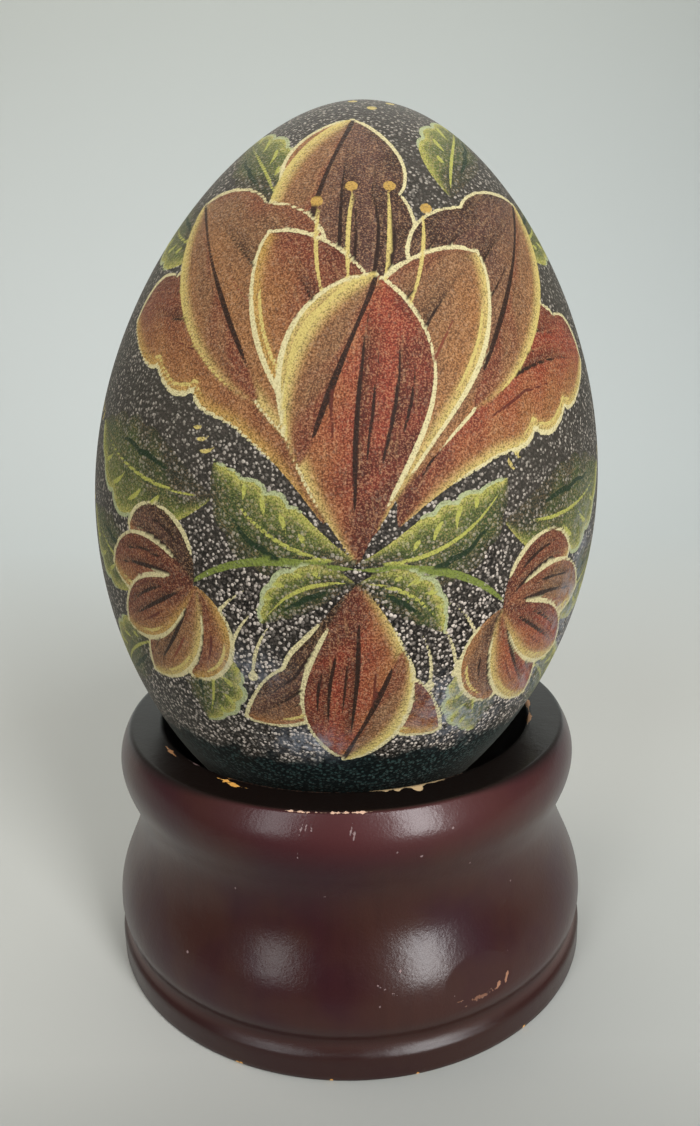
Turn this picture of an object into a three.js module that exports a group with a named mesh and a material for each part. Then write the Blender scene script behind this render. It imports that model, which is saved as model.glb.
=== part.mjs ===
// A painted emu egg resting point up in the dished seat of a turned wooden display stand.
// Millimetres, +Z up. The origin is the centre of the stand's flat underside.
import * as THREE from 'three';

// Egg: its own size and shape.
const EGG_LENGTH = 129.5;
const EGG_WIDTH = 88.8;
const EGG_TAPER = -0.026; // leaner towards the top than towards the bottom
const EGG_END_SLIMNESS = -0.133; // both ends are leaner than an ellipse's

// Egg: how it rests. It leans a little to the right, off the stand's axis.
const EGG_CENTRE_X = 1.1;
const EGG_CENTRE_HEIGHT = 86.1;
const EGG_LEAN = THREE.MathUtils.degToRad(5);

// Stand: foot, from the floor up to the groove under the belly.
const FOOT_RADIUS = 45.6;
const FOOT_BEVEL = 0.4;
const LEDGE_HEIGHT = 5.6;
const LEDGE_ROUND = 0.8;
const GROOVE_RADIUS = 43.7;

// Stand: the belly, the waist and the rim, each at its widest or narrowest height.
const BELLY_RADIUS = 45.4;
const BELLY_HEIGHT = 10.2;
const WAIST_RADIUS = 40.7;
const WAIST_HEIGHT = 27.4;
const RIM_RADIUS = 43.2;
const RIM_HEIGHT = 38.3;

// Stand: the flat top between the sharp outer edge and the seat, and the dished seat.
const TOP_HEIGHT = 44.3;
const TOP_EDGE_RADIUS = 41.1;
const SEAT_RADIUS = 35.3;
const SEAT_BEVEL = 0.3;
const SEAT_FLOOR_HEIGHT = 20.6;

// How full the stand's curves are. Each share sets how far a curve keeps to its end's direction.
const UPRIGHT_SHARE = 0.4;
const TURN_SHARE = 0.25;
const SEAT_WALL_DROP_SHARE = 0.33;
const SEAT_WALL_RADIUS_SHARE = 0.93;
const SEAT_FLOOR_RADIUS_SHARE = 0.52;

// How finely the round shapes are faceted.
const EGG_RINGS = 26;
const EGG_SIDES = 52;
const STAND_SIDES = 64;
const CURVE_STEPS = 6;

// A solid of revolution about +Z, from an outline of (radius, height) that runs up the outside.
function turned(outline, sides) {
  const geometry = new THREE.LatheGeometry(outline, sides);
  geometry.rotateX(Math.PI / 2);
  return geometry;
}

// The egg's outline about its own middle, from the lower pole to the upper one.
function eggOutline() {
  const outline = [];
  for (let ring = 0; ring <= EGG_RINGS; ring += 1) {
    const along = -Math.cos((Math.PI * ring) / EGG_RINGS);
    const ellipse = Math.sqrt(Math.max(0, 1 - along * along));
    const shape = 1 + EGG_TAPER * along + EGG_END_SLIMNESS * along * along;
    outline.push(new THREE.Vector2((EGG_WIDTH / 2) * ellipse * shape, (EGG_LENGTH / 2) * along));
  }
  return outline;
}

// The stand's outline: underside, foot, ledge, belly, waist, rim, flat top, then down into the seat.
function standOutline() {
  const outline = new THREE.Path();
  outline.moveTo(0, 0);
  outline.lineTo(FOOT_RADIUS - FOOT_BEVEL, 0);
  outline.lineTo(FOOT_RADIUS, FOOT_BEVEL);
  outline.lineTo(FOOT_RADIUS, LEDGE_HEIGHT - LEDGE_ROUND);
  outline.quadraticCurveTo(FOOT_RADIUS, LEDGE_HEIGHT, FOOT_RADIUS - LEDGE_ROUND, LEDGE_HEIGHT);
  outline.lineTo(GROOVE_RADIUS, LEDGE_HEIGHT);
  addBelly(outline);
  addWaistAndRim(outline);
  outline.lineTo(SEAT_RADIUS, TOP_HEIGHT);
  addSeat(outline);
  return outline.getPoints(CURVE_STEPS);
}

// The belly swells out of the groove to its widest, upright there.
function addBelly(outline) {
  const lift = BELLY_HEIGHT - LEDGE_HEIGHT;
  outline.bezierCurveTo(
    (GROOVE_RADIUS + BELLY_RADIUS) / 2, LEDGE_HEIGHT + lift * TURN_SHARE,
    BELLY_RADIUS, BELLY_HEIGHT - lift * UPRIGHT_SHARE,
    BELLY_RADIUS, BELLY_HEIGHT,
  );
}

// From the belly the side draws in to the waist, out to the rim and over to the top's sharp edge.
function addWaistAndRim(outline) {
  const shoulder = (WAIST_HEIGHT - BELLY_HEIGHT) * UPRIGHT_SHARE;
  const flare = (RIM_HEIGHT - WAIST_HEIGHT) * UPRIGHT_SHARE;
  const crown = TOP_HEIGHT - RIM_HEIGHT;
  outline.bezierCurveTo(
    BELLY_RADIUS, BELLY_HEIGHT + shoulder,
    WAIST_RADIUS, WAIST_HEIGHT - shoulder,
    WAIST_RADIUS, WAIST_HEIGHT,
  );
  outline.bezierCurveTo(
    WAIST_RADIUS, WAIST_HEIGHT + flare,
    RIM_RADIUS, RIM_HEIGHT - flare,
    RIM_RADIUS, RIM_HEIGHT,
  );
  outline.bezierCurveTo(
    RIM_RADIUS, RIM_HEIGHT + crown * UPRIGHT_SHARE,
    (RIM_RADIUS + TOP_EDGE_RADIUS) / 2, TOP_HEIGHT - crown * TURN_SHARE,
    TOP_EDGE_RADIUS, TOP_HEIGHT,
  );
}

// The seat is a smooth dish that follows the egg's lower end with a narrow gap all round.
function addSeat(outline) {
  const depth = TOP_HEIGHT - SEAT_FLOOR_HEIGHT;
  const mouth = SEAT_RADIUS - SEAT_BEVEL;
  outline.lineTo(mouth, TOP_HEIGHT - SEAT_BEVEL);
  outline.bezierCurveTo(
    mouth * SEAT_WALL_RADIUS_SHARE, TOP_HEIGHT - depth * SEAT_WALL_DROP_SHARE,
    mouth * SEAT_FLOOR_RADIUS_SHARE, SEAT_FLOOR_HEIGHT,
    0, SEAT_FLOOR_HEIGHT,
  );
}

function makeEgg() {
  const paint = new THREE.MeshStandardMaterial({ color: 0x3a2f2c, roughness: 0.7, metalness: 0 });
  const egg = new THREE.Mesh(turned(eggOutline(), EGG_SIDES), paint);
  egg.name = 'egg';
  egg.position.set(EGG_CENTRE_X, 0, EGG_CENTRE_HEIGHT);
  egg.rotation.y = EGG_LEAN;
  return egg;
}

function makeStand() {
  const lacquer = new THREE.MeshStandardMaterial({ color: 0x4f2428, roughness: 0.3, metalness: 0 });
  const stand = new THREE.Mesh(turned(standOutline(), STAND_SIDES), lacquer);
  stand.name = 'stand';
  return stand;
}

const eggOnStand = new THREE.Group();
eggOnStand.add(makeStand(), makeEgg());

export default eggOnStand;
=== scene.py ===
"""A painted emu egg resting point up in its turned wooden stand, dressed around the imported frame."""

import math

import bpy
import numpy as np
from mathutils import Matrix, Vector


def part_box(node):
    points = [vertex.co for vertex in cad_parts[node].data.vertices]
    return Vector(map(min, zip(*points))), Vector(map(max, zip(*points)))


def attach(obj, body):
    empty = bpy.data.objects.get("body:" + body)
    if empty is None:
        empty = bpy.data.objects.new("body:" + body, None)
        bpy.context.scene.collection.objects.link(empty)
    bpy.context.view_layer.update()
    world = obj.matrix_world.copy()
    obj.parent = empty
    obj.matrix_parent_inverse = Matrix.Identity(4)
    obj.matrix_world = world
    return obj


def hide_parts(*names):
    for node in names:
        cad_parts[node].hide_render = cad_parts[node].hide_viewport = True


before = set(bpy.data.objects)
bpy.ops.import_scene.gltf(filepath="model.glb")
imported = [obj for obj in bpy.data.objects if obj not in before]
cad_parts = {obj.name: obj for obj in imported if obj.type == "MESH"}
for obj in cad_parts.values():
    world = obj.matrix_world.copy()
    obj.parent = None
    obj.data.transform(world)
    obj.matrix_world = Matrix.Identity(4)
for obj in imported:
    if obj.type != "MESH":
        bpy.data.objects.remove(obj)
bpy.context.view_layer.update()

# Lengths are in millimetres, as in the CAD model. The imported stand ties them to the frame's metres.
FOOT_RADIUS = 45.6
stand_low, stand_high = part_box("stand")
MM = (stand_high[0] - stand_low[0]) / (2 * FOOT_RADIUS)

# The egg's shape and how it rests, as in the CAD model.
EGG_LENGTH = 129.5
EGG_WIDTH = 88.8
EGG_TAPER = -0.026
EGG_END_SLIMNESS = -0.133
EGG_CENTRE = (1.1, 0.0, 86.1)
EGG_LEAN = math.radians(5)

# The stand's outline, as in the CAD model.
FOOT_BEVEL = 0.4
LEDGE_HEIGHT = 5.6
LEDGE_ROUND = 0.8
GROOVE_RADIUS = 43.7
BELLY_RADIUS = 45.4
BELLY_HEIGHT = 10.2
WAIST_RADIUS = 40.7
WAIST_HEIGHT = 27.4
RIM_RADIUS = 43.2
RIM_HEIGHT = 38.3
TOP_HEIGHT = 44.3
TOP_EDGE_RADIUS = 41.1
SEAT_RADIUS = 35.3
SEAT_BEVEL = 0.3
SEAT_FLOOR_HEIGHT = 20.6
UPRIGHT_SHARE = 0.4
TURN_SHARE = 0.25
SEAT_WALL_DROP_SHARE = 0.33
SEAT_WALL_RADIUS_SHARE = 0.93
SEAT_FLOOR_RADIUS_SHARE = 0.52

# The camera, from the outlines of the egg and the stand in the photograph.
PHOTO_WIDTH = 700
PHOTO_HEIGHT = 1126
FOCAL_PIXELS = 833.6
AXIS_COLUMN = 331.9
SENSOR = 36.0
CAMERA_PLACE = (-1.7, -152.7, 109.7)
CAMERA_PITCH = math.radians(13.72)
CAMERA_ROLL = math.radians(-1.68)
NEAREST_SHOWN = 10

# The lights face this height on the stand's axis.
LIT_HEIGHT = 75


def colour(red, green, blue, alpha=1.0):
    """A screen colour of 0 to 255 as the linear colour that Blender works in."""
    screen = np.array([red, green, blue]) / 255
    linear = np.where(screen <= 0.04045, screen / 12.92, ((screen + 0.055) / 1.055) ** 2.4)
    return (*linear.tolist(), alpha)


def smooth(low, high, value):
    """0 below low, 1 above high, and a soft rise between them."""
    share = np.clip((value - low) / (high - low), 0, 1)
    return share * share * (3 - 2 * share)


def bezier(start, handle_a, handle_b, end, steps):
    """Points on a cubic curve, both ends included."""
    share = np.linspace(0, 1, steps + 1)[:, None]
    rest = 1 - share
    points = [np.array(point, float) for point in (start, handle_a, handle_b, end)]
    return (rest ** 3 * points[0] + 3 * rest ** 2 * share * points[1]
            + 3 * rest * share ** 2 * points[2] + share ** 3 * points[3])


# ---------------------------------------------------------------- camera, stage and light

def add_camera():
    """A camera that stands, looks down, leans and frames the object as the photograph's does."""
    data = bpy.data.cameras.new("camera")
    data.sensor_width = SENSOR
    data.lens = SENSOR * FOCAL_PIXELS / PHOTO_HEIGHT
    data.shift_x = (PHOTO_WIDTH / 2 - AXIS_COLUMN) / PHOTO_HEIGHT
    data.clip_start = NEAREST_SHOWN * MM
    camera = bpy.data.objects.new("camera", data)
    tilt = Matrix.Rotation(math.pi / 2 - CAMERA_PITCH, 4, "X")
    roll = Matrix.Rotation(CAMERA_ROLL, 4, "Z")
    camera.matrix_world = Matrix.Translation(Vector(CAMERA_PLACE) * MM) @ tilt @ roll
    bpy.context.scene.collection.objects.link(camera)
    bpy.context.scene.camera = camera


def add_light(name, azimuth, elevation, distance, size, power, tint):
    """A soft panel of light that faces the object. Azimuth 0 is the camera's side, 90 is +X."""
    data = bpy.data.lights.new(name, "AREA")
    data.shape = "RECTANGLE"
    data.size = size[0] * MM
    data.size_y = size[1] * MM
    data.energy = power
    data.color = tint
    light = bpy.data.objects.new(name, data)
    turn = math.radians(azimuth)
    rise = math.radians(elevation)
    direction = Vector((math.sin(turn) * math.cos(rise), -math.cos(turn) * math.cos(rise), math.sin(rise)))
    target = Vector((0, 0, LIT_HEIGHT * MM))
    light.matrix_world = (Matrix.Translation(target + direction * distance * MM)
                          @ direction.to_track_quat("Z", "Y").to_matrix().to_4x4())
    bpy.context.scene.collection.objects.link(light)
    return light


def add_lights():
    """Two tall windows in front, a broad panel above and behind, and a warm fill from the left."""
    add_light("window_right", azimuth=31, elevation=22, distance=900, size=(270, 960),
              power=11.2, tint=(0.98, 0.985, 1.0))
    add_light("window_left", azimuth=-34, elevation=24, distance=900, size=(240, 850),
              power=3.0, tint=(0.95, 0.98, 1.0))
    add_light("overhead", azimuth=175, elevation=60, distance=1000, size=(900, 900),
              power=4.2, tint=(1.0, 1.0, 0.98))
    left_fill = add_light("left_fill", azimuth=-105, elevation=35, distance=1100, size=(700, 900),
                          power=4.6, tint=(1.0, 0.92, 0.87))
    left_fill.visible_glossy = False


def add_world():
    """Weak even light from all round, and colours that are shown as they are."""
    world = bpy.data.worlds.new("room")
    world.use_nodes = True
    background = world.node_tree.nodes["Background"]
    background.inputs["Color"].default_value = colour(198, 203, 203)
    background.inputs["Strength"].default_value = 0.22
    bpy.context.scene.world = world
    bpy.context.scene.view_settings.view_transform = "Standard"


def add_plain(name, vertices, faces, colours):
    """A matt backdrop piece, with a colour at each vertex."""
    mesh = bpy.data.meshes.new(name)
    mesh.from_pydata([tuple(value * MM for value in vertex) for vertex in vertices], [], faces)
    mesh.shade_smooth()
    store(mesh, "shade", colours)
    thing = bpy.data.objects.new(name, mesh)
    bpy.context.scene.collection.objects.link(thing)
    paint = Paint(name)
    paint.fill(paint.shader, {"Base Color": paint.stored("shade", "Color"), "Roughness": 0.85})
    mesh.materials.append(paint.material)


def add_sweep():
    """A pale floor that turns up into the wall behind. In front a painted shadow darkens it, mostly out of
    view.
    """
    floor_front = -1200
    deep_shadow_end = -130
    pale_start = -40
    pale_end = 100
    bend_start = 350
    bend_radius = 500
    bend_steps = 16
    wall_top = 2000
    half_width = 1600
    # Painted shadow: the floor darkens towards the front, and the lacquer mirrors it there.
    floor_shadow = colour(64, 65, 63)
    floor = colour(187, 188, 182)
    wall = np.array(colour(196, 202, 200))
    # Painted shade: the wall darkens towards its top.
    shaded_upper_wall = np.array(colour(191, 195, 189))
    run = [(floor_front, 0.0, floor_shadow), (deep_shadow_end, 0.0, floor_shadow),
           (pale_start, 0.0, floor), (pale_end, 0.0, floor)]
    for share in np.linspace(0, 1, bend_steps + 1):
        turn = share * math.pi / 2
        tint = wall + (shaded_upper_wall - wall) * share ** 3
        run += [(bend_start + bend_radius * math.sin(turn), bend_radius * (1 - math.cos(turn)), tint)]
    run += [(bend_start + bend_radius, wall_top, shaded_upper_wall)]
    vertices = [(side, y, z) for y, z, tint in run for side in (-half_width, half_width)]
    colours = [tint for y, z, tint in run for side in (-half_width, half_width)]
    faces = [(2 * i, 2 * i + 1, 2 * i + 3, 2 * i + 2) for i in range(len(run) - 1)]
    add_plain("sweep", vertices, faces, colours)


def add_dark_card():
    """The dark shape of the camera and whoever holds it, which the lacquer mirrors."""
    half_width = 170
    place = -420
    bottom = 5
    top = 480
    corners = [(-half_width, place, bottom), (half_width, place, bottom),
               (half_width, place, top), (-half_width, place, top)]
    add_plain("dark_card", corners, [(0, 1, 2, 3)], [colour(36, 36, 38)] * 4)


# ---------------------------------------------------------------- surfaces of revolution

def uneven_columns(half_angle, front_count, back_count):
    """Angles round the axis, from -Y towards +X: close together within half_angle in front."""
    front = np.linspace(-half_angle, half_angle, front_count)
    back = np.linspace(half_angle, 2 * math.pi - half_angle, back_count + 2)[1:-1]
    return np.concatenate([front, back])


def turned_mesh(name, radius, height, angles):
    """A closed skin turned about +Z, from an outline that runs from pole to pole."""
    around = len(angles)
    ring_radius = radius[1:-1, None]
    x = ring_radius * np.sin(angles)
    y = -ring_radius * np.cos(angles)
    z = np.repeat(height[1:-1, None], around, axis=1)
    rings = np.stack([x, y, z], axis=-1).reshape(-1, 3)
    points = np.vstack([[0, 0, height[0]], rings, [0, 0, height[-1]]])
    count = len(radius) - 2
    start = 1 + np.arange(count - 1)[:, None] * around
    column = np.arange(around)
    following = (column + 1) % around
    quads = np.stack([start + column, start + following,
                      start + around + following, start + around + column], axis=-1).reshape(-1, 4)
    last = len(points) - 1
    upper = 1 + (count - 1) * around
    faces = quads.tolist()
    faces += [(0, 1 + following[i], 1 + i) for i in range(around)]
    faces += [(last, upper + i, upper + following[i]) for i in range(around)]
    mesh = bpy.data.meshes.new(name)
    mesh.from_pydata((points * MM).tolist(), [], faces)
    mesh.shade_smooth()
    return mesh, points


def store(mesh, name, values):
    """Keeps one value at each vertex, as a number, a vector or a colour, for the material to read."""
    values = np.asarray(values, float)
    kinds = {1: ("FLOAT", "value"), 3: ("FLOAT_VECTOR", "vector"), 4: ("FLOAT_COLOR", "color")}
    kind, field = kinds[1 if values.ndim == 1 else values.shape[1]]
    attribute = mesh.attributes.new(name, kind, "POINT")
    attribute.data.foreach_set(field, values.astype(np.float32).ravel())


# ---------------------------------------------------------------- paint on a surface

FAR = 50.0  # stands for a distance that is too great to matter
FEATHER = 0.5  # the breadth over which one body's colour gives way to the next
SPINE_STEPS = 24


class Canvas:
    """Flat coordinates in mm over a surface's vertices, and the paint that has been laid on them."""

    def __init__(self, x, y):
        self.x = x
        self.y = y
        self.body_edge = np.full(len(x), FAR)
        self.body_colour = np.zeros((len(x), 4))
        self.line_edge = np.full(len(x), FAR)
        self.line_colour = np.zeros((len(x), 4))
        self.brush = np.zeros((len(x), 3))
        self.layers = 0

    def near(self, points, margin):
        """The vertices within the points' bounding box, with a margin round it."""
        low = points.min(axis=0) - margin
        high = points.max(axis=0) + margin
        inside = (self.x > low[0]) & (self.x < high[0]) & (self.y > low[1]) & (self.y < high[1])
        return np.flatnonzero(inside)

    def beside(self, spine, chosen):
        """How far along the spine each vertex lies, from 0 to 1, and how far to its left."""
        place = np.stack([self.x[chosen], self.y[chosen]], axis=-1)
        steps = np.diff(spine, axis=0)
        lengths = np.linalg.norm(steps, axis=1)
        before = np.concatenate([[0], np.cumsum(lengths)])
        best = np.full(len(chosen), np.inf)
        along = np.zeros(len(chosen))
        across = np.zeros(len(chosen))
        for start, step, length, done in zip(spine[:-1], steps, lengths, before):
            offset = place - start
            share = np.clip(offset @ step / length ** 2, 0, 1)
            gap = np.linalg.norm(offset - share[:, None] * step, axis=1)
            left = (step[0] * offset[:, 1] - step[1] * offset[:, 0]) / length
            nearer = gap < best
            best[nearer] = gap[nearer]
            along[nearer] = (done + share * length)[nearer]
            across[nearer] = (np.sign(left) * gap)[nearer]
        return along / before[-1], across

    def lay_body(self, chosen, edge, paint, brush):
        """Lays a filled shape over what is there. Edge is negative inside it."""
        self.layers += 1
        covered = np.maximum(self.body_edge[chosen], 0)
        share = np.clip(0.5 - (edge - covered) / FEATHER, 0, 1)[:, None]
        self.body_colour[chosen] = self.body_colour[chosen] * (1 - share) + paint * share
        taken = chosen[edge < covered]
        self.brush[taken, :2] = brush[edge < covered]
        self.brush[taken, 2] = self.layers
        self.line_edge[chosen] = np.maximum(self.line_edge[chosen], -edge)
        self.body_edge[chosen] = np.minimum(self.body_edge[chosen], edge)

    def lay_line(self, chosen, edge, paint):
        """Lays a thin stroke on top of everything. Edge is negative inside it."""
        nearer = edge < self.line_edge[chosen]
        taken = chosen[nearer]
        self.line_edge[taken] = edge[nearer]
        self.line_colour[taken] = paint


def bent_spine(base, tip, bend, steps=SPINE_STEPS):
    """A curve from base to tip that swings sideways by bend, a share of its length, to its left."""
    base = np.array(base, float)
    tip = np.array(tip, float)
    way = tip - base
    side = np.array([-way[1], way[0]]) * bend
    return bezier(base, base + way * 0.33 + side, base + way * 0.66 + side, tip, steps)


def stroke(canvas, points, width, paint, taper):
    """A brush stroke along a curve. Taper gives its width at both ends, as shares of the full width."""
    chosen = canvas.near(points, width + 1)
    along, across = canvas.beside(points, chosen)
    ends = taper[0] + (taper[1] - taper[0]) * along
    swell = ends * np.sin(np.pi * np.clip(along, 0.04, 0.96)) ** 0.5
    canvas.lay_line(chosen, np.abs(across) - width / 2 * swell, paint)


def comma(canvas, base, tip, bend, width, paint):
    """A comma stroke: a round head at the tip, drawn out to a fine tail at the base."""
    stroke(canvas, bent_spine(base, tip, bend, 12), width, paint, taper=(0.1, 1.0))


def dot(canvas, centre, radius, paint):
    """A round spot of paint."""
    centre = np.array(centre, float)
    chosen = canvas.near(centre[None], radius + 1)
    gap = np.hypot(canvas.x[chosen] - centre[0], canvas.y[chosen] - centre[1])
    canvas.lay_line(chosen, gap - radius, paint)


def blend(first, second, share):
    """The first colour where share is 0, and the second where it is 1."""
    return np.array(first) * (1 - share[:, None]) + np.array(second) * share[:, None]


class Petal:
    """A petal or leaf about a bent spine. Lit_side is 1 for the left of the spine and -1 for the right.

    Lobes notch its edge, a higher swell puts its widest place nearer the tip, and a lower blunt makes
    its ends rounder. Lean is 0 on the spine, 1 at the lit edge and -1 at the other one.
    """

    def __init__(self, canvas, base, tip, bend, width, lobes=0, swell=1.5, lit_side=1, blunt=0.62):
        self.canvas = canvas
        self.blunt = blunt
        self.width = width
        self.lobes = lobes
        self.swell = swell
        self.lit_side = lit_side
        self.spine = bent_spine(base, tip, bend)
        self.length = np.linalg.norm(np.diff(self.spine, axis=0), axis=1).sum()
        self.chosen = canvas.near(self.spine, width / 2 + 3)
        self.along, self.across = canvas.beside(self.spine, self.chosen)
        self.reach = self.half_width(self.along)
        step = 0.01
        rise = self.half_width(self.along + step) - self.half_width(self.along - step)
        slope = np.clip(rise / (2 * step * self.length), -1.5, 1.5)
        self.edge = (np.abs(self.across) - self.reach) / np.sqrt(1 + slope ** 2)
        self.lean = lit_side * self.across / np.maximum(self.reach, 0.5)

    def half_width(self, share):
        """Half the width at a share of the way along the spine."""
        share = np.clip(share, 0, 1)
        wide = self.width / 2 * np.sin(np.pi * share ** self.swell) ** self.blunt
        notches = 1 - np.abs(np.sin(self.lobes * np.pi * share ** 1.3)) ** 0.7
        return wide * (1 - 0.2 * notches * smooth(0.25, 0.6, share) * (self.lobes > 0))

    def fill(self, tones, rim=2.4, creases=()):
        """Deep at the base and down the dark side, light on the lit side, with a pale rim there.

        Each crease is a shadow that ends in a sharp line along the spine, given by its place across
        the petal, its breadth, and its start and end along it.
        """
        deep, body, light, pale = tones
        ripple = 0.10 * np.sin(self.along * self.length * 0.9 + 4 * self.lean) * smooth(0, 0.3, self.along)
        paint = blend(deep, body, smooth(0.0, 0.5, self.along + 0.2 * self.lean + ripple))
        paint = blend(paint, light, smooth(0.0, 1.1, self.along * 0.4 + 0.8 * self.lean + ripple))
        paint = blend(paint, deep, 0.75 * smooth(-0.45, -1.0, self.lean + ripple))
        lit = smooth(0.0, 0.8, self.lean + 1.2 * self.along - 0.6)
        paint = blend(paint, pale, smooth(-rim, -0.2, self.edge) * lit)
        for place, breadth, start, end in creases:
            inward = (place - self.lean) / breadth
            under = np.where(inward < 0, 0, np.clip(1 - inward, 0, 1) ** 1.3)
            run = smooth(start, start + 0.25, self.along) * smooth(end, end - 0.2, self.along)
            paint = blend(paint, UMBER, 0.8 * under * run)
        brush = np.stack([self.along * self.length, self.across], axis=-1)
        self.canvas.lay_body(self.chosen, self.edge, paint, brush)

    def outline(self, paint, width=0.8, gap=0.0, start=0.12, end=1.1, side=0):
        """A line along the edge, gap outside it. Side keeps it to the lit (1) or the dark (-1) side."""
        swell = smooth(start, start + 0.15, self.along) * smooth(end, end - 0.1, self.along)
        swell = swell * (0.8 + 0.2 * np.sin(9 * self.along + 2 * self.lean))
        if side:
            swell = swell * smooth(-0.1, 0.3, side * self.lean)
        edge = np.abs(self.edge - gap) - width / 2 * swell
        self.canvas.lay_line(self.chosen, np.where(swell < 0.3, 0.5, edge), paint)

    def shade(self, place, start, end, width, paint):
        """A stroke that follows the spine, at a share of the half width to the lit (+) or dark (-) side."""
        share = (self.along - start) / (end - start)
        swell = np.sin(np.pi * np.clip(share, 0, 1) ** 0.7) ** 0.8
        edge = np.abs(self.lean - place) * self.reach - width / 2 * swell
        edge = np.where((share < 0) | (share > 1), 1.0, edge)
        self.canvas.lay_line(self.chosen, np.maximum(edge, self.edge + 0.3), paint)

    def dab(self, start, reach, width, paint):
        """A short comma that runs forward from beside the spine towards the lit edge."""
        row = int(start * SPINE_STEPS)
        step = self.spine[row + 1] - self.spine[row]
        way = step / np.linalg.norm(step)
        side = np.array([-way[1], way[0]]) * self.lit_side
        base = self.spine[row] + side * 0.8
        end = base + (side + way * 0.9) * self.half_width(start) * reach
        comma(self.canvas, base, end, 0.1 * self.lit_side, width, paint)

    def tip(self):
        """The tip, and the way the petal points there."""
        way = self.spine[-1] - self.spine[-2]
        return self.spine[-1], way / np.linalg.norm(way)


# ---------------------------------------------------------------- the painting on the egg

# A place is millimetres over the skin: to the right of the front's middle, and up from mid-length.

RUST = colour(90, 43, 33)
BRICK = colour(116, 61, 43)
SCARLET = colour(138, 59, 42)
OCHRE = colour(148, 100, 59)
TAN = colour(124, 87, 59)
MAUVE = colour(88, 60, 51)
UMBER = colour(44, 30, 23)
GOLD = colour(182, 146, 75)
STRAW = colour(196, 176, 104)
CREAM = colour(206, 194, 146)
SAGE = colour(166, 172, 128)
PINE = colour(33, 48, 29, 0.45)
LEAF = colour(66, 86, 40, 0.72)
MOSS = colour(114, 125, 57, 0.9)
LIME = colour(168, 166, 82)

WARM = (RUST, BRICK, OCHRE, GOLD)
BRIGHT = (RUST, SCARLET, OCHRE, STRAW)
DUSKY = (UMBER, MAUVE, TAN, OCHRE)
AMBER = (BRICK, TAN, OCHRE, STRAW)
GREEN = (PINE, LEAF, MOSS, LIME)


def painted_petal(canvas, base, tip, bend, width, tones, lobes=0, lit_side=1, swell=1.5, fold=False):
    """A petal with its shadow strokes, its outline and, for some, a lit edge that folds over."""
    petal = Petal(canvas, base, tip, bend, width, lobes, swell, lit_side)
    petal.fill(tones, creases=((-0.02, 0.42, 0.10, 0.92), (-0.50, 0.36, 0.25, 0.86)))
    petal.shade(-0.04, 0.14, 0.88, 0.7, UMBER)
    petal.shade(-0.52, 0.30, 0.82, 0.55, UMBER)
    petal.shade(0.30, 0.40, 0.80, 0.5, tones[0])
    if width > 14:
        petal.shade(-0.24, 0.34, 0.74, 0.5, UMBER)
        petal.shade(-0.72, 0.44, 0.72, 0.5, UMBER)
    petal.outline(CREAM)
    petal.outline(STRAW, width=0.55, gap=-1.3, start=0.45, end=0.9, side=1)
    if fold:
        turn_over(canvas, petal)


def turn_over(canvas, petal):
    """A light strip down the lit side, where the petal's edge folds over, with a dark stroke inside it."""
    step = petal.spine[10] - petal.spine[8]
    side = np.array([-step[1], step[0]]) / np.linalg.norm(step) * petal.lit_side
    start = petal.spine[8] + side * petal.half_width(0.36) * 0.9
    strip = Petal(canvas, start, petal.spine[-1], petal.lit_side * 0.14, petal.width * 0.3, swell=1.0,
                  lit_side=petal.lit_side)
    strip.fill(AMBER)
    strip.outline(UMBER, width=0.9, start=0.05, side=-1)
    strip.outline(STRAW, width=0.7, start=0.05, side=1)


def painted_leaf(canvas, base, tip, bend, width, lit_side=1, strokes=3):
    """A leaf with a vein, dabs and a bright edge on its lit side, and short strokes off its tip."""
    leaf = Petal(canvas, base, tip, bend, width, lobes=5, swell=1.1, lit_side=lit_side, blunt=0.85)
    leaf.fill(GREEN, rim=2.0)
    leaf.shade(0.0, 0.08, 0.95, 0.6, LIME)
    leaf.shade(-0.45, 0.25, 0.80, 0.9, PINE)
    for start, reach in ((0.3, 0.35), (0.45, 0.5), (0.6, 0.5), (0.75, 0.4)):
        leaf.dab(start, reach, 1.1, LIME)
    leaf.outline(SAGE, width=0.75, start=0.3, side=1)
    place, way = leaf.tip()
    side = np.array([-way[1], way[0]])
    for count in range(strokes):
        place = place + way * 1.7
        reach = 1.5 - 0.3 * count
        comma(canvas, place - side * reach, place + side * reach + way * 0.5, 0.15, 0.9, STRAW)


def side_bloom(canvas, base, tip, width, tones, lit_side=1):
    """A smaller half-open bloom: five petals that fan out from one base."""
    base = np.array(base, float)
    way = np.array(tip, float) - base
    side = np.array([-way[1], way[0]])
    for turn, reach, kinds in ((-1.0, 0.74, DUSKY), (1.0, 0.74, WARM), (-0.52, 0.94, tones),
                               (0.52, 0.94, AMBER), (0.0, 0.9, tones)):
        point = base + (way * math.cos(turn) + side * math.sin(turn)) * reach
        painted_petal(canvas, base, point, 0.16 * turn, width, kinds, lit_side=lit_side, swell=1.25)


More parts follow.
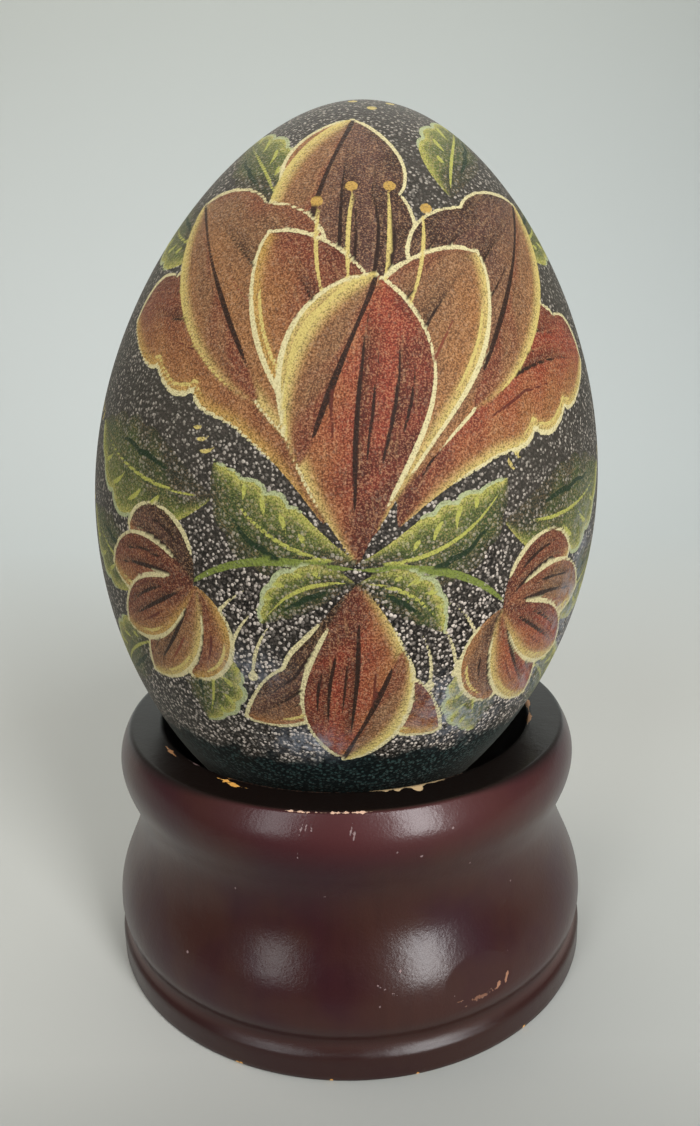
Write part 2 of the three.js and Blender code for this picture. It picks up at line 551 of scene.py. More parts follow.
def lotus(canvas):
    """The large open bloom in the upper middle, from its back petals to its front one."""
    painted_petal(canvas, (0, 6), (-3, 66), 0.06, 22, DUSKY, lobes=3, fold=True)
    painted_petal(canvas, (-4, 2), (-42, 28), -0.30, 20, WARM, lobes=4)
    painted_petal(canvas, (6, 2), (43, 26), 0.26, 20, BRIGHT, lobes=4, lit_side=-1)
    painted_petal(canvas, (-2, 4), (-29, 48), -0.14, 24, AMBER, lobes=4, fold=True)
    painted_petal(canvas, (4, 4), (27, 52), 0.10, 24, DUSKY, lobes=4, lit_side=-1, fold=True)
    painted_petal(canvas, (-1, 1), (-14, 42), -0.12, 18, WARM)
    painted_petal(canvas, (3, 1), (16, 41), 0.12, 18, AMBER, lit_side=-1)
    for x, y, lean in ((-7, 46, 0.1), (-2.5, 49, 0.05), (2.5, 49.5, -0.05), (7.5, 46, -0.1)):
        comma(canvas, (x * 0.45, 26), (x, y), lean, 0.9, STRAW)
        dot(canvas, (x * 1.06, y + 1.5), 0.9, GOLD)
    painted_petal(canvas, (1, -3), (1, 36), 0.06, 21, BRIGHT, fold=True)
    for side in (-1, 1):
        painted_leaf(canvas, (1, -3), (1 + side * 21, 9), side * -0.2, 11, lit_side=side)


def hanging_bud(canvas):
    """A half-open bud that hangs below the bloom, with a small leaf on each side of its stem."""
    painted_petal(canvas, (0, -7), (-14, -30), 0.20, 11, DUSKY, lobes=2, swell=1.2)
    painted_petal(canvas, (2, -7), (16, -31), -0.20, 11, WARM, lobes=2, lit_side=-1, swell=1.2)
    painted_petal(canvas, (1, -6), (1.5, -37), 0.05, 16, BRIGHT, swell=1.3, fold=True)
    for side in (-1, 1):
        painted_leaf(canvas, (1, -6), (1 + side * 13, -13), side * 0.22, 7, lit_side=side, strokes=0)


def stems(canvas):
    """A curved stem from the middle out to each side bloom."""
    for side in (-1, 1):
        curve = bezier((1, -4), (side * 10, -3), (side * 17, -3), (side * 25, -10), 12)
        stroke(canvas, curve, 1.3, MOSS, taper=(1.0, 0.8))


def leaves(canvas):
    """The leaves behind the blooms, from the top down to the sides."""
    painted_leaf(canvas, (-13, 46), (-25, 64), -0.10, 13, lit_side=-1)
    painted_leaf(canvas, (-26, 40), (-43, 49), 0.12, 13)
    painted_leaf(canvas, (12, 50), (18, 72), 0.10, 13)
    painted_leaf(canvas, (24, 44), (39, 54), -0.12, 13, lit_side=-1)
    painted_leaf(canvas, (-20, 4), (-50, 12), 0.10, 16)
    painted_leaf(canvas, (22, 3), (51, 10), -0.12, 16, lit_side=-1)
    painted_leaf(canvas, (-32, -10), (-54, -2), 0.12, 12)
    painted_leaf(canvas, (-30, -20), (-47, -33), -0.12, 13, lit_side=-1)
    painted_leaf(canvas, (-22, -16), (-21, -33), 0.14, 11, strokes=0)
    painted_leaf(canvas, (34, -11), (55, -4), -0.12, 12, lit_side=-1)
    painted_leaf(canvas, (31, -20), (46, -34), 0.12, 13)
    painted_leaf(canvas, (23, -16), (23, -33), -0.14, 11, lit_side=-1, strokes=0)


def sprays(canvas):
    """Three drops on fine tails at each side of the hanging bud."""
    for side in (-1, 1):
        for start, end in (((14, -8), (20, -15)), ((12, -10), (17, -20)), ((10, -12), (13, -22))):
            comma(canvas, (side * start[0], start[1]), (side * end[0], end[1]), side * 0.12, 0.9, CREAM)
            dot(canvas, (side * end[0], end[1]), 0.8, CREAM)


def paint_egg(canvas):
    """The whole picture, from what lies behind to what lies in front."""
    leaves(canvas)
    sprays(canvas)
    lotus(canvas)
    stems(canvas)
    hanging_bud(canvas)
    side_bloom(canvas, (-23, -9), (-41, -20), 10, WARM)
    side_bloom(canvas, (24, -10), (43, -21), 10, BRIGHT, lit_side=-1)
    for x, y in ((0, 71), (-3, 75), (3, 75), (0, 79)):
        dot(canvas, (x, y), 0.8, STRAW)


# ---------------------------------------------------------------- materials

class Paint:
    """A material whose nodes are added one by one and linked by their inputs' names."""

    def __init__(self, name):
        self.material = bpy.data.materials.new(name)
        self.material.use_nodes = True
        self.tree = self.material.node_tree
        self.shader = self.tree.nodes["Principled BSDF"]

    def node(self, kind, inputs=None, **settings):
        """A new node of a kind, with its inputs filled and its settings made."""
        node = self.tree.nodes.new("ShaderNode" + kind)
        for key, value in settings.items():
            setattr(node, key, value)
        self.fill(node, inputs or {})
        return node

    def fill(self, node, inputs):
        """Links or sets each named input of a node."""
        for key, value in inputs.items():
            if isinstance(value, bpy.types.NodeSocket):
                self.tree.links.new(value, node.inputs[key])
            else:
                node.inputs[key].default_value = value

    def place(self):
        """The place on the object, in millimetres."""
        position = self.node("TexCoord").outputs["Object"]
        return self.node("VectorMath", {0: position, "Scale": 1 / MM}, operation="SCALE").outputs[0]

    def noise(self, place, scale, detail=2.0, roughness=0.5, stretch=None):
        """Smooth noise with about scale lumps to the millimetre. Stretch scales its place by axis."""
        if stretch:
            place = self.node("VectorMath", {0: place, 1: stretch}, operation="MULTIPLY").outputs[0]
        return self.node("TexNoise", {"Vector": place, "Scale": scale, "Detail": detail,
                                      "Roughness": roughness}).outputs["Fac"]

    def math(self, operation, first, second, clamp=False):
        """One step of arithmetic."""
        return self.node("Math", {0: first, 1: second}, operation=operation, use_clamp=clamp).outputs[0]

    def ramp(self, value, low, high, start=0.0, end=1.0):
        """Start below low, end above high, and a soft change between them."""
        return self.node("MapRange", {"Value": value, "From Min": low, "From Max": high, "To Min": start,
                                      "To Max": end}, interpolation_type="SMOOTHSTEP").outputs["Result"]

    def mix(self, share, first, second):
        """The first colour where share is 0, and the second where it is 1."""
        return self.node("Mix", {"Factor": share, "A": first, "B": second},
                         data_type="RGBA").outputs["Result"]

    def stored(self, name, output="Fac"):
        """What store() kept at the vertices under a name."""
        return self.node("Attribute", attribute_name=name).outputs[output]


# How many granules a millimetre of shell holds, and their relief in millimetres.
GRANULES_PER_MM = 1.7
GRANULE_RELIEF = 0.2


def granules(paint, place, fine, wear_and_glint):
    """Round granules of uneven size, larger at the lower front, where their pale tops are painted
    brightest.

    Crown is lowest at the middle of a granule, and speck is how much of its pale tone shows, partly
    rubbed-down shell and partly a painted glint.
    """
    warp = paint.node("TexNoise", {"Vector": place, "Scale": 1.0, "Detail": 2.0}).outputs["Color"]
    bent = paint.node("VectorMath", {0: warp, 1: (0.4, 0.4, 0.4), 2: place},
                      operation="MULTIPLY_ADD").outputs[0]
    cells = paint.node("TexVoronoi", {"Vector": bent, "Scale": GRANULES_PER_MM})
    chances = paint.node("SeparateColor", {0: cells.outputs["Color"]})
    size = paint.ramp(chances.outputs[1], 0.0, 1.0, 0.08, -0.06)
    crown = paint.math("ADD", cells.outputs["Distance"], size)
    crown = paint.math("ADD", crown, paint.ramp(fine, 0.3, 0.7, -0.05, 0.05))
    crown = paint.math("SUBTRACT", crown, paint.math("MULTIPLY", wear_and_glint, 0.10))
    bright = paint.ramp(chances.outputs[0], 0.05, 0.9, 0.14, 1.0)
    speck = paint.math("MULTIPLY", paint.ramp(crown, 0.44, 0.24), bright)
    return crown, speck


def painted_ground(paint, wear_and_glint, grain, speck):
    """The dark ground, with pale granules where it is rubbed down and painted glints on them."""
    # Painted light: towards the sides and the top the ground is painted paler, as a sheen, and the
    # granules' glints dimmer.
    dark = paint.mix(wear_and_glint, colour(64, 60, 52), colour(14, 11, 9))
    dark = paint.mix(paint.ramp(grain, 0.44, 0.66), dark, colour(74, 67, 60))
    pale = paint.mix(wear_and_glint, colour(132, 126, 112), colour(214, 200, 186))
    return paint.mix(speck, dark, pale)


def bare_band(paint, place):
    """Where the lower shell is bare of paint, up to an uneven edge."""
    uneven = paint.ramp(paint.noise(place, 0.25), 0.3, 0.7, -1.2, 1.2)
    return paint.ramp(paint.math("ADD", paint.stored("lift"), uneven), BARE_BELOW + 1, BARE_BELOW - 1)


def painted_bodies(paint, grain, pebble, speck):
    """The petals' and leaves' colours, streaked by the brush, with a leathery grain and painted glints and
    shade on it.
    """
    streaks = paint.noise(paint.stored("brush", "Vector"), 1.0, detail=3.0, stretch=(0.22, 1.8, 7.0))
    body = paint.stored("body_colour", "Color")
    body = paint.mix(paint.ramp(streaks, 0.5, 0.75, 0.0, 0.28), body, colour(60, 42, 34))
    body = paint.mix(paint.ramp(streaks, 0.5, 0.25, 0.0, 0.22), body, colour(196, 158, 112))
    # Painted shade in the pits between the granules under the paint, and painted glints on their tops; the
    # last step paints faint pale granule tops, also glints.
    body = paint.mix(paint.ramp(pebble, 0.52, 0.60, 0.0, 0.52), body, colour(36, 24, 18))
    body = paint.mix(paint.ramp(pebble, 0.46, 0.36, 0.0, 0.24), body, colour(224, 176, 128))
    body = paint.mix(paint.ramp(grain, 0.56, 0.70, 0.0, 0.22), body, colour(38, 26, 20))
    return paint.mix(paint.math("MULTIPLY", speck, 0.08), body, colour(238, 210, 176))


def egg_paint():
    """The egg's skin: granular ground, bare lower shell, petals and leaves, their lines, and haze."""
    paint = Paint("painted_shell")
    place = paint.place()
    fine = paint.noise(place, 3.0)
    grain = paint.noise(place, 2.4, detail=3.0, roughness=0.65)
    pebble = paint.noise(place, 4.2, detail=1.0)
    drift = paint.noise(place, 0.12, detail=3.0)
    # How rubbed down and how brightly lit the granules are painted: partly wear, partly painted glints and
    # sheen.
    wear_and_glint = paint.math("ADD", paint.stored("wear_and_glint"), paint.ramp(drift, 0.3, 0.7, -0.15, 0.15), clamp=True)
    crown, speck = granules(paint, place, fine, wear_and_glint)

    bare = bare_band(paint, place)
    bare_shell = paint.mix(speck, colour(5, 13, 14), colour(46, 66, 63))
    coat = paint.mix(bare, painted_ground(paint, wear_and_glint, grain, speck), bare_shell)

    body_edge = paint.math("ADD", paint.stored("body_edge"), paint.ramp(fine, 0.3, 0.7, -0.04, 0.04))
    opacity = paint.stored("body_colour", "Alpha")
    body_mask = paint.math("MULTIPLY", paint.ramp(body_edge, 0.06, -0.06), opacity)
    coat = paint.mix(body_mask, coat, painted_bodies(paint, grain, pebble, speck))

    line_edge = paint.math("ADD", paint.stored("line_edge"), paint.ramp(fine, 0.3, 0.7, -0.03, 0.03))
    grainy = paint.ramp(pebble, 0.68, 0.50, 0.5, 1.0)
    line_mask = paint.math("MULTIPLY", paint.ramp(line_edge, 0.05, -0.05), grainy)
    coat = paint.mix(line_mask, coat, paint.stored("line_colour", "Color"))

    cloud = paint.ramp(paint.noise(place, 0.7, detail=3.0), 0.3, 0.7)
    coat = paint.mix(paint.math("MULTIPLY", paint.stored("haze"), cloud), coat, colour(150, 156, 166))

    # Paint evens the granules out, and the bare shell is smoother than the ground.
    dome = paint.math("MULTIPLY", paint.ramp(crown, 0.5, 0.1), paint.ramp(body_mask, 0.0, 1.0, 0.7, 0.3))
    height = paint.math("ADD", dome, paint.math("MULTIPLY", grain, 0.9))
    height = paint.math("MULTIPLY", height, paint.ramp(bare, 0.0, 1.0, 1.0, 0.35))
    bump = paint.node("Bump", {"Height": height, "Strength": 1.0,
                               "Distance": GRANULE_RELIEF * MM}).outputs[0]
    paint.fill(paint.shader, {"Base Color": coat, "Normal": bump, "Roughness": 0.55,
                              "Specular IOR Level": 0.14, "Sheen Weight": 0.16, "Sheen Roughness": 0.3})
    paint.shader.inputs["Sheen Tint"].default_value = colour(220, 220, 205)
    return paint.material


# The relief of the lacquer's skin, in millimetres.
PEEL_RELIEF = 0.026
WAVE_RELIEF = 0.06
FINE_RELIEF = 0.02
MATT_RELIEF = 0.03
CHIP_DEPTH = 0.08


def stained_wood(paint, place):
    """Uneven maroon stain, browner at the foot and near black on top, paler along the ledge, with painted
    light on the rim's front.
    """
    drift = paint.noise(place, 0.06, detail=3.0)
    fibre = paint.noise(place, 1.0, detail=3.0, stretch=(0.5, 0.5, 0.04))
    wood = paint.mix(paint.ramp(drift, 0.35, 0.65), colour(44, 13, 20), colour(53, 26, 20))
    wood = paint.mix(paint.ramp(fibre, 0.45, 0.7, 0.0, 0.15), wood, colour(34, 12, 12))
    wood = paint.mix(paint.ramp(paint.stored("foot"), 0.0, 1.0, 0.0, 0.7), wood, colour(36, 14, 8))
    wood = paint.mix(paint.stored("ledge"), wood, colour(104, 74, 68))
    # Painted light, with some rubbing: paler on the rim's upper front.
    wood = paint.mix(paint.stored("rim"), wood, colour(80, 42, 42))
    return paint.mix(paint.stored("top"), wood, colour(22, 14, 11))


def stand_lacquer():
    """Stained wood under satin lacquer with an orange-peel skin, chipped and scratched in places, with a
    painted highlight on the seat's edge.
    """
    paint = Paint("stained_wood")
    place = paint.place()
    fine = paint.noise(place, 2.6, detail=3.0)
    flakes = paint.noise(place, 0.8)
    # Chips, scratches and nicks, and the painted highlight along the seat's edge.
    chip_and_highlight_edge = paint.math("ADD", paint.stored("chip_and_highlight_edge"), paint.ramp(fine, 0.25, 0.75, -0.08, 0.12))
    chip_and_highlight_edge = paint.math("ADD", chip_and_highlight_edge, paint.ramp(flakes, 0.42, 0.66, -0.06, 0.16))
    chips_and_highlight = paint.ramp(chip_and_highlight_edge, 0.04, -0.04)
    wood = paint.mix(chips_and_highlight, stained_wood(paint, place), paint.stored("chip_and_highlight_colour", "Color"))

    peel = paint.math("MULTIPLY", paint.noise(place, 0.9), PEEL_RELIEF)
    wave = paint.math("MULTIPLY", paint.noise(place, 0.16, detail=1.0), WAVE_RELIEF)
    height = paint.math("ADD", peel, wave)
    height = paint.math("ADD", height, paint.math("MULTIPLY", fine, FINE_RELIEF))
    matt = paint.ramp(paint.stored("foot"), 0.4, 0.9, 0.0, MATT_RELIEF)
    height = paint.math("ADD", height, paint.math("MULTIPLY", paint.noise(place, 7.0), matt))
    height = paint.math("SUBTRACT", height, paint.math("MULTIPLY", chips_and_highlight, CHIP_DEPTH))
    bump = paint.node("Bump", {"Height": height, "Strength": 1.0, "Distance": MM}).outputs[0]
    paint.fill(paint.shader, {"Base Color": wood, "Roughness": 0.45, "Normal": bump,
                              "Specular IOR Level": 0.08, "Coat Weight": 0.62, "Coat Roughness": 0.23,
                              "Coat Normal": bump})
    return paint.material


# ---------------------------------------------------------------- the egg

# The painted front has close columns, and the seated end of the egg has few rows.
PAINTED_HALF_ANGLE = math.radians(82)
PAINTED_COLUMNS = 283
PLAIN_COLUMNS = 62
SEATED_BELOW = -47.0
OPEN_ROWS = 262
SEATED_ROWS = 25

# The height over the floor up to which the shell is bare, and where the pale granules are brightest, as
# wear and painted glints.
BARE_BELOW = 50.6
WEAR_AND_GLINT_PLACE = (8, -26)
WEAR_AND_GLINT_REACH = (46, 34)


def egg_outline():
    """The egg's rows from its lower pole up: radius, height along its axis, and arc from its middle."""
    turn = np.linspace(0, math.pi, 4001)
    along = -np.cos(turn)
    shape = 1 + EGG_TAPER * along + EGG_END_SLIMNESS * along ** 2
    radius = EGG_WIDTH / 2 * np.sqrt(np.clip(1 - along ** 2, 0, None)) * shape
    height = EGG_LENGTH / 2 * along
    arc = np.concatenate([[0], np.cumsum(np.hypot(np.diff(radius), np.diff(height)))])
    seated_arc = np.interp(SEATED_BELOW, height, arc)
    rows = np.concatenate([np.linspace(0, seated_arc, SEATED_ROWS, endpoint=False),
                           np.linspace(seated_arc, arc[-1], OPEN_ROWS)])
    middle = np.interp(0, height, arc)
    return np.interp(rows, arc, radius), np.interp(rows, arc, height), rows - middle


def wear_and_glint_ground(canvas):
    """How pale the granules are, as wear and painted glints: least at the sides and at the top, where the
    ground is painted paler.
    """
    spread = (((canvas.x - WEAR_AND_GLINT_PLACE[0]) / WEAR_AND_GLINT_REACH[0]) ** 2
              + ((canvas.y - WEAR_AND_GLINT_PLACE[1]) / WEAR_AND_GLINT_REACH[1]) ** 2)
    return 0.3 + 0.7 * np.exp(-spread ** 1.5)


def bloom(canvas):
    """Hazy whitish patches low on the painted ground, each given by its place, size and strength."""
    patches = [(-4, -34, 5, 3, 0.62), (19, -29, 7, 4, 0.6), (43, -14, 6, 9, 0.6), (16, -24, 4, 3, 0.5),
               (-14, -21, 5, 3, 0.35), (44, -2, 5, 8, 0.4), (36, -25, 6, 5, 0.45)]
    haze = np.zeros(len(canvas.x))
    for x, y, wide, high, strength in patches:
        spread = ((canvas.x - x) / wide) ** 2 + ((canvas.y - y) / high) ** 2
        haze = np.maximum(haze, strength * np.exp(-spread))
    return haze


def build_egg():
    """Turns the egg's skin, paints it, and leans it into the stand."""
    radius, height, arc = egg_outline()
    angles = uneven_columns(PAINTED_HALF_ANGLE, PAINTED_COLUMNS, PLAIN_COLUMNS)
    mesh, points = turned_mesh("painted_egg", radius, height, angles)
    turn = np.arctan2(points[:, 0], -points[:, 1])
    reach = np.hypot(points[:, 0], points[:, 1])
    level = np.interp(points[:, 2], height, arc)
    canvas = Canvas(turn * reach, level)
    paint_egg(canvas)
    lift = EGG_CENTRE[2] + points[:, 2] * math.cos(EGG_LEAN) - points[:, 0] * math.sin(EGG_LEAN)
    store(mesh, "lift", lift)
    store(mesh, "wear_and_glint", wear_and_glint_ground(canvas))
    store(mesh, "haze", bloom(canvas))
    store(mesh, "body_edge", canvas.body_edge)
    store(mesh, "body_colour", canvas.body_colour)
    store(mesh, "brush", canvas.brush)
    store(mesh, "line_edge", canvas.line_edge)
    store(mesh, "line_colour", canvas.line_colour)
    mesh.transform(Matrix.Translation(Vector(EGG_CENTRE) * MM) @ Matrix.Rotation(EGG_LEAN, 4, "Y"))
    egg = bpy.data.objects.new("painted_egg", mesh)
    bpy.context.scene.collection.objects.link(egg)
    mesh.materials.append(egg_paint())
    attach(egg, "root")
    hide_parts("egg")


# ---------------------------------------------------------------- the stand

WORN_HALF_ANGLE = math.radians(60)
WORN_COLUMNS = 420
WHOLE_COLUMNS = 160

# Corners that the lacquer fills or rounds more than the CAD model shows. Each has its reach, and how
# far the curve is still pulled into the corner, as a share.
SOFT_CORNERS = (((FOOT_RADIUS, LEDGE_HEIGHT), 1.6, 0.6), ((GROOVE_RADIUS, LEDGE_HEIGHT), 1.9, 0.42),
                ((TOP_EDGE_RADIUS, TOP_HEIGHT), 0.5, 0.6))


def soften(points, corner, reach, pull):
    """Rounds an outline off within reach of one of its corners."""
    gap = np.linalg.norm(points - corner, axis=1)
    before = np.argmin(gap)
    after = before
    while gap[before] < reach:
        before -= 1
    while gap[after] < reach:
        after += 1
    start = points[before]
    end = points[after]
    curve = bezier(start, start + (corner - start) * pull, end + (corner - end) * pull, end, 7)
    return np.vstack([points[:before], curve, points[after + 1:]])


def stand_outline():
    """The stand's outline from the middle of its underside, up its side and down into the seat."""
    lift = BELLY_HEIGHT - LEDGE_HEIGHT
    shoulder = (WAIST_HEIGHT - BELLY_HEIGHT) * UPRIGHT_SHARE
    flare = (RIM_HEIGHT - WAIST_HEIGHT) * UPRIGHT_SHARE
    crown = TOP_HEIGHT - RIM_HEIGHT
    depth = TOP_HEIGHT - SEAT_FLOOR_HEIGHT
    mouth = SEAT_RADIUS - SEAT_BEVEL
    ledge = FOOT_RADIUS - LEDGE_ROUND
    # Each curve ends with its number of steps, and each straight line with its number of points.
    pieces = [
        np.array([(0, 0), (20, 0), (40, 0), (FOOT_RADIUS - FOOT_BEVEL, 0), (FOOT_RADIUS, FOOT_BEVEL)]),
        np.linspace((FOOT_RADIUS, FOOT_BEVEL), (FOOT_RADIUS, LEDGE_HEIGHT - LEDGE_ROUND), 8),
        bezier((FOOT_RADIUS, LEDGE_HEIGHT - LEDGE_ROUND), (FOOT_RADIUS, LEDGE_HEIGHT - LEDGE_ROUND / 3),
               (ledge + LEDGE_ROUND * 2 / 3, LEDGE_HEIGHT), (ledge, LEDGE_HEIGHT), 6),
        np.linspace((ledge, LEDGE_HEIGHT), (GROOVE_RADIUS, LEDGE_HEIGHT), 5),
        bezier((GROOVE_RADIUS, LEDGE_HEIGHT),
               ((GROOVE_RADIUS + BELLY_RADIUS) / 2, LEDGE_HEIGHT + lift * TURN_SHARE),
               (BELLY_RADIUS, BELLY_HEIGHT - lift * UPRIGHT_SHARE), (BELLY_RADIUS, BELLY_HEIGHT), 14),
        bezier((BELLY_RADIUS, BELLY_HEIGHT), (BELLY_RADIUS, BELLY_HEIGHT + shoulder),
               (WAIST_RADIUS, WAIST_HEIGHT - shoulder), (WAIST_RADIUS, WAIST_HEIGHT), 50),
        bezier((WAIST_RADIUS, WAIST_HEIGHT), (WAIST_RADIUS, WAIST_HEIGHT + flare),
               (RIM_RADIUS, RIM_HEIGHT - flare), (RIM_RADIUS, RIM_HEIGHT), 20),
        bezier((RIM_RADIUS, RIM_HEIGHT), (RIM_RADIUS, RIM_HEIGHT + crown * UPRIGHT_SHARE),
               ((RIM_RADIUS + TOP_EDGE_RADIUS) / 2, TOP_HEIGHT - crown * TURN_SHARE),
               (TOP_EDGE_RADIUS, TOP_HEIGHT), 22),
        np.linspace((TOP_EDGE_RADIUS, TOP_HEIGHT), (SEAT_RADIUS, TOP_HEIGHT), 12),
        bezier((mouth, TOP_HEIGHT - SEAT_BEVEL),
               (mouth * SEAT_WALL_RADIUS_SHARE, TOP_HEIGHT - depth * SEAT_WALL_DROP_SHARE),
               (mouth * SEAT_FLOOR_RADIUS_SHARE, SEAT_FLOOR_HEIGHT), (0, SEAT_FLOOR_HEIGHT), 24),
    ]
    outline = np.vstack(pieces)
    moved = np.linalg.norm(np.diff(outline, axis=0), axis=1) > 1e-6
    outline = outline[np.concatenate([[True], moved])]
    for corner, reach, pull in SOFT_CORNERS:
        outline = soften(outline, np.array(corner), reach, pull)
    return outline


BARE_WOOD = colour(250, 184, 92)
RAW_EDGE = colour(238, 204, 154)
PALE_CHIP = colour(214, 176, 150)
DULL_CHIP = colour(112, 76, 58)
OLD_CHIP = colour(180, 130, 86)
RUBBED = colour(146, 104, 80)
SCRATCH = colour(138, 114, 112)
LIP_HIGHLIGHT = colour(96, 72, 60)


class StandSkin:
    """Flat coordinates over the stand's skin: round it at its girth, and up its outline."""

    def __init__(self, outline):
        self.outline = outline
        self.arc = np.concatenate([[0], np.cumsum(np.linalg.norm(np.diff(outline, axis=0), axis=1))])

    def place(self, azimuth, radius, height):
        """The place at an azimuth where the outline passes nearest to a radius and height."""
        nearest = np.argmin(np.hypot(self.outline[:, 0] - radius, self.outline[:, 1] - height))
        return np.array([math.radians(azimuth) * BELLY_RADIUS, self.arc[nearest]])

    def side(self, azimuth, height):
        """A place on the side, between the foot and the top."""
        sides = (self.outline[:, 0] > TOP_EDGE_RADIUS - 1) & (self.outline[:, 1] < TOP_HEIGHT)
        nearest = np.argmin(np.where(sides, np.abs(self.outline[:, 1] - height), FAR))
        return np.array([math.radians(azimuth) * BELLY_RADIUS, self.arc[nearest]])


def chip_and_highlight_rim(canvas, skin, radius, marks, tint):
    """Chips on the flat top at one radius, and the seat edge's painted highlight. Each mark is its start
    and end in degrees and its width.
    """
    for start, end, width in marks:
        turns = np.linspace(start, end, 6)
        places = np.array([skin.place(turn, radius, TOP_HEIGHT) for turn in turns])
        stroke(canvas, places, width, tint, taper=(0.8, 1.0))


def scrape_side(canvas, skin, marks, width, tint):
    """Thin marks on the side. Each one runs through places given as azimuth in degrees and height."""
    for places in marks:
        points = np.array([skin.side(azimuth, height) for azimuth, height in places])
        stroke(canvas, points, width, tint, taper=(0.8, 1.0))


def wear_and_highlight_top(canvas, skin):
    """A painted highlight along the seat's edge, chips to bare wood round it, and chips along the top's
    outer edge.
    """
    # Painted highlight: a thin pale line along the seat's bevelled edge.
    chip_and_highlight_rim(canvas, skin, SEAT_RADIUS, [(-33, 0, 0.4), (6, 34, 0.4)], LIP_HIGHLIGHT)
    chip_and_highlight_rim(canvas, skin, SEAT_RADIUS + 0.8, [(-59, -56.5, 1.1)], OLD_CHIP)
    chip_and_highlight_rim(canvas, skin, SEAT_RADIUS, [(71, 76, 1.6), (82, 88, 1.4)], OLD_CHIP)
    chip_and_highlight_rim(canvas, skin, SEAT_RADIUS, [(-48, -46, 0.8)], SCRATCH)
    chip_and_highlight_rim(canvas, skin, SEAT_RADIUS + 0.9, [(-33.6, -32.3, 0.9)], BARE_WOOD)
    chip_and_highlight_rim(canvas, skin, SEAT_RADIUS + 1.6, [(-31.2, -27.8, 0.9)], BARE_WOOD)
    chip_and_highlight_rim(canvas, skin, SEAT_RADIUS, [(8.3, 10.2, 1.7), (10.9, 13.0, 2.2), (15.4, 18.8, 4.2),
                                          (20.4, 23.6, 0.8)], RAW_EDGE)
    crest = [(-12.9, -11.6, 0.5), (-11.0, -9.7, 0.3), (-9.3, -8.3, 0.4), (-8.0, -6.4, 0.55),
             (-4.1, -3.4, 0.5), (-2.9, -2.4, 0.4), (-2.0, -0.3, 0.55), (-0.1, 2.1, 0.35), (1.9, 2.8, 0.6)]
    chip_and_highlight_rim(canvas, skin, TOP_EDGE_RADIUS, crest, PALE_CHIP)


def wear_side(canvas, skin):
    """The dent's rubbed lower edge, scratches under the crest, pale nicks, and chips at the floor."""
    crescent = [[(18.9, 10.7), (22.1, 10.4), (26.6, 10.5), (29.9, 11.0)],
                [(20.5, 11.3), (24.0, 11.0), (27.5, 11.1), (30.5, 11.9)]]
    scrape_side(canvas, skin, crescent, 0.26, DULL_CHIP)
    scrape_side(canvas, skin, [[(30.2, 10.9), (31.3, 12.3)], [(32.5, 11.4), (33.4, 12.8)]], 0.65, RUBBED)
    scratches = [[(0.3, 43.0), (-0.4, 41.0)], [(0.9, 42.3), (0.3, 40.6)], [(-9.8, 43.0), (-10.4, 41.2)],
                 [(-9.0, 42.8), (-9.3, 41.8)], [(-7.9, 42.7), (-8.0, 41.8)], [(-10.8, 38.6), (-10.8, 37.6)],
                 [(4.4, 16.2), (8.2, 14.6)]]
    scrape_side(canvas, skin, scratches, 0.26, SCRATCH)
    nicks = [(34.1, 15.9), (20.2, 12.5), (9.3, 18.0), (4.7, 13.1), (-27, 28.5), (9, 38.0), (14, 37.0),
             (36, 8), (40, 25), (-19, 35), (-6, 30), (21, 40.5), (26, 33), (-38, 16), (29, 20)]
    for azimuth, height in nicks:
        dot(canvas, skin.side(azimuth, height), 0.2, SCRATCH)
    for azimuth in (-25, -24, -5.2, 12, 38):
        dot(canvas, skin.side(azimuth, FOOT_BEVEL), 0.32, BARE_WOOD)


DENT_AZIMUTH = math.radians(26.3)
DENT_HEIGHT = 14.0
DENT_TILT = math.radians(13)
DENT_DEPTH = 0.45
DENT_REACH = 12


def press_dent(points):
    """Flattens the belly's lower right into a small flat facet with a crisp edge."""
    ring = np.argmin(np.abs(points[:, 2] - DENT_HEIGHT) + (points[:, 1] > 0) * FAR)
    reach = np.hypot(points[ring, 0], points[ring, 1])
    across = np.array([math.sin(DENT_AZIMUTH), -math.cos(DENT_AZIMUTH), 0])
    facing = across * math.cos(DENT_TILT) + np.array([0, 0, math.sin(DENT_TILT)])
    centre = across * reach + np.array([0, 0, points[ring, 2]])
    proud = np.maximum((points - centre) @ facing + DENT_DEPTH, 0)
    near = np.linalg.norm(points - centre, axis=1) < DENT_REACH
    return points - (proud * near)[:, None] * facing


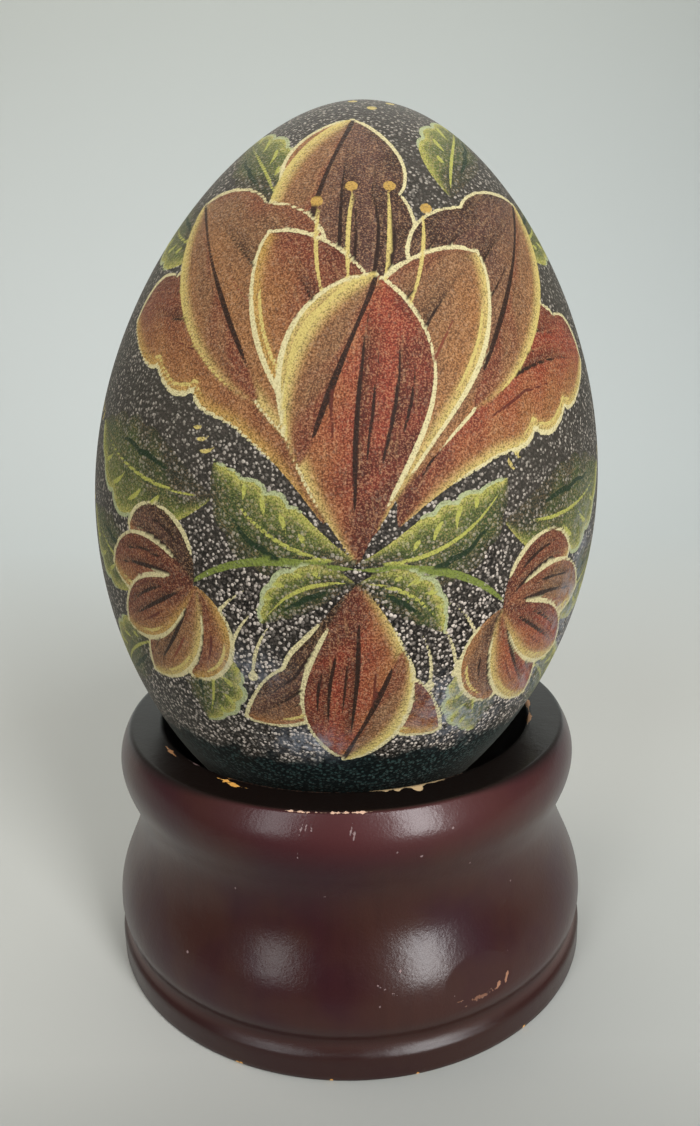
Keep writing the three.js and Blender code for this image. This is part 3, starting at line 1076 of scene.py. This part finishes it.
def shade_stand(mesh, skin, points, turn, level):
    """Stores how much of the top's, the foot's and the ledge's tone each vertex takes, and the rim's
    painted light.
    """
    azimuth = np.degrees(turn)
    crest = skin.place(0, TOP_EDGE_RADIUS, TOP_HEIGHT)[1]
    soft = 0.4 + 1.6 * smooth(20, 50, np.abs(azimuth))
    store(mesh, "top", smooth(-soft, 0.4, level - crest))
    store(mesh, "foot", smooth(LEDGE_HEIGHT + 6, LEDGE_HEIGHT, points[:, 2]))
    ledge = skin.place(0, FOOT_RADIUS - LEDGE_ROUND, LEDGE_HEIGHT)[1]
    # Paler along the ledge, more so towards the sides.
    ledge_paleness = 0.1 + 0.25 * smooth(30, 65, np.abs(azimuth))
    store(mesh, "ledge", ledge_paleness * np.exp(-((level - ledge) / 0.8) ** 2))
    # Painted light, with some rubbing: paler on the rim's upper front, where the lamps in front fall.
    rim_light_and_rubbing = 0.05 + 0.75 * np.exp(-((azimuth - 8) / 36) ** 2)
    store(mesh, "rim", rim_light_and_rubbing * smooth(RIM_HEIGHT - 4, RIM_HEIGHT + 4, points[:, 2]))


def build_stand():
    """Turns the stand's skin, wears and shades it, paints light on its seat edge and rim, and presses the
    dent into it.
    """
    outline = stand_outline()
    skin = StandSkin(outline)
    angles = uneven_columns(WORN_HALF_ANGLE, WORN_COLUMNS, WHOLE_COLUMNS)
    mesh, points = turned_mesh("lacquered_stand", outline[:, 0], outline[:, 1], angles)
    turn = np.arctan2(points[:, 0], -points[:, 1])
    level = np.concatenate([[0], np.repeat(skin.arc[1:-1], len(angles)), [skin.arc[-1]]])
    canvas = Canvas(turn * BELLY_RADIUS, level)
    wear_and_highlight_top(canvas, skin)
    wear_side(canvas, skin)
    store(mesh, "chip_and_highlight_edge", canvas.line_edge)
    store(mesh, "chip_and_highlight_colour", canvas.line_colour)
    shade_stand(mesh, skin, points, turn, level)
    points = press_dent(points)
    mesh.vertices.foreach_set("co", (points * MM).astype(np.float32).ravel())
    mesh.update()
    stand = bpy.data.objects.new("lacquered_stand", mesh)
    bpy.context.scene.collection.objects.link(stand)
    mesh.materials.append(stand_lacquer())
    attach(stand, "root")
    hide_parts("stand")


add_camera()
add_world()
add_lights()
add_sweep()
add_dark_card()
build_egg()
build_stand()
